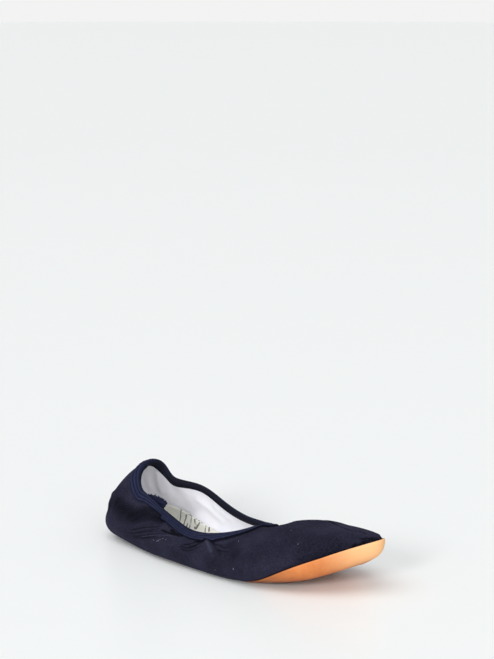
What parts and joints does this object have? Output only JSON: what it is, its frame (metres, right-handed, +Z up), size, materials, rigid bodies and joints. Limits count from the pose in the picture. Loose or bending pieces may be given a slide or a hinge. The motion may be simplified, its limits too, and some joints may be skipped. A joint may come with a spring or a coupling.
{
  "type": "gymnastics shoe",
  "caption": "Soft low-cut slipper for the right foot: hollow fabric upper with a pinched waist, elastic collar binding, insole and a thin sole that curls up at the toe",
  "frame": {"origin": "middle of the footprint's box, on the floor that the sole rests on", "axes": "+X from the heel to the toe, +Y to the inner (medial) side of the foot, +Z up"},
  "size_m": [0.242, 0.0864, 0.0589],
  "materials": {
    "canvas": "matt navy canvas with a pale cotton lining",
    "sole_rubber": "matt tan rubber",
    "sock_cloth": "matt cream cloth with a printed pattern",
    "elastic_tape": "ribbed navy elastic"
  },
  "bodies": {
    "root": {"upper": "canvas", "outsole": "sole_rubber", "insole": "sock_cloth", "binding": "elastic_tape", "binding_end": "elastic_tape"}
  },
  "joints": []
}
